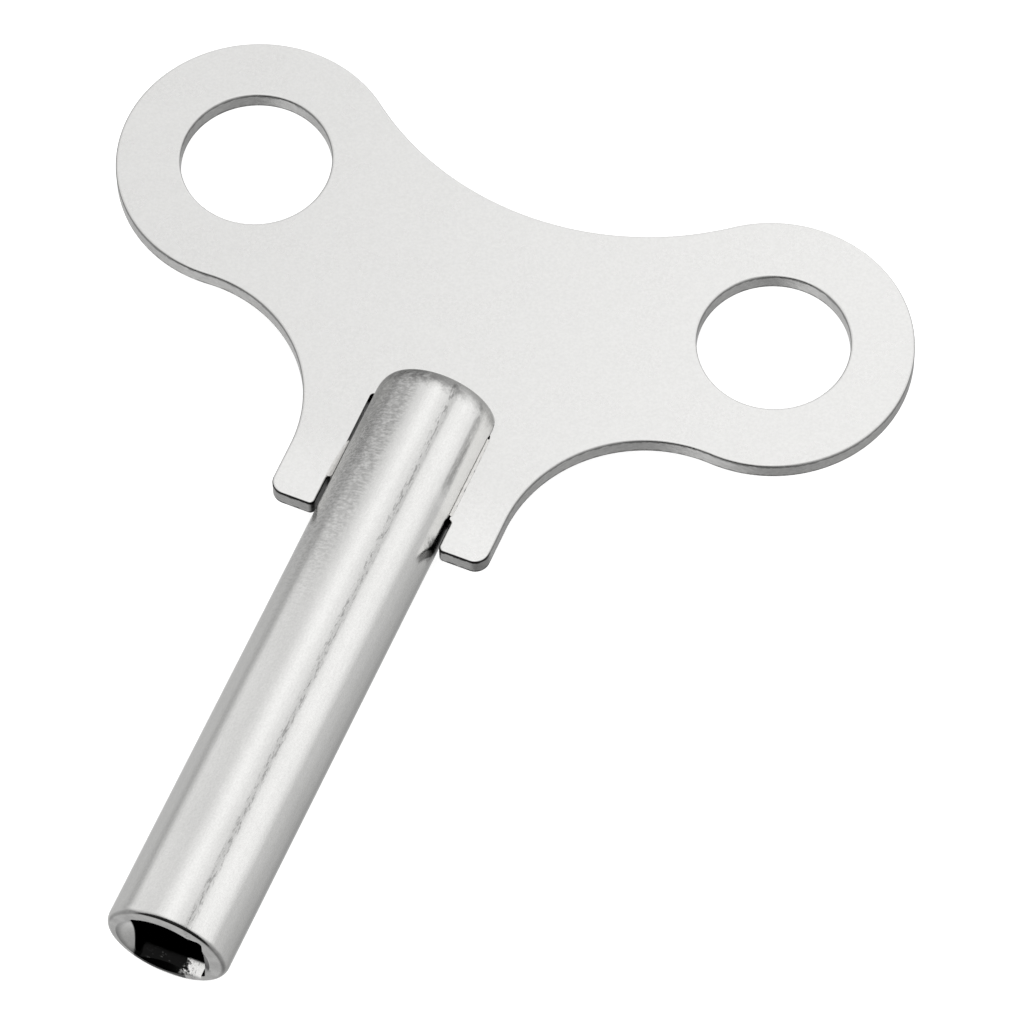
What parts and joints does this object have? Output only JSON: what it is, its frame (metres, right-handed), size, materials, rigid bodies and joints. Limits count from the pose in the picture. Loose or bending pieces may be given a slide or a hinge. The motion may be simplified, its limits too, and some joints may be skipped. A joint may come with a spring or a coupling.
{
  "type": "radiator bleed key",
  "caption": "Flat wing plate with pierced ears, set across the slotted end of a round shank whose other end is a square socket that turns a radiator bleed valve.",
  "frame": {"origin": "under the middle of the key lying flat: the centre of the bounding box's underside, at the height of the shank's lowest facet", "axes": "+X to the right ear seen from the plate's top with the wings away from the viewer, +Y along the shank from the socket's mouth to the wings, +Z square to the plate"},
  "size_m": [0.06, 0.0698, 0.0089],
  "materials": {
    "plated_plate": "satin nickel plating on stamped sheet steel",
    "plated_bar": "semi-bright nickel plating on steel bar, with lengthwise drawing marks",
    "braze": "plated over braze filler"
  },
  "bodies": {
    "root": {"wing_plate": "plated_plate", "socket_shank": "plated_bar", "braze_fillet": "braze", "braze_seam": "braze"}
  },
  "joints": []
}
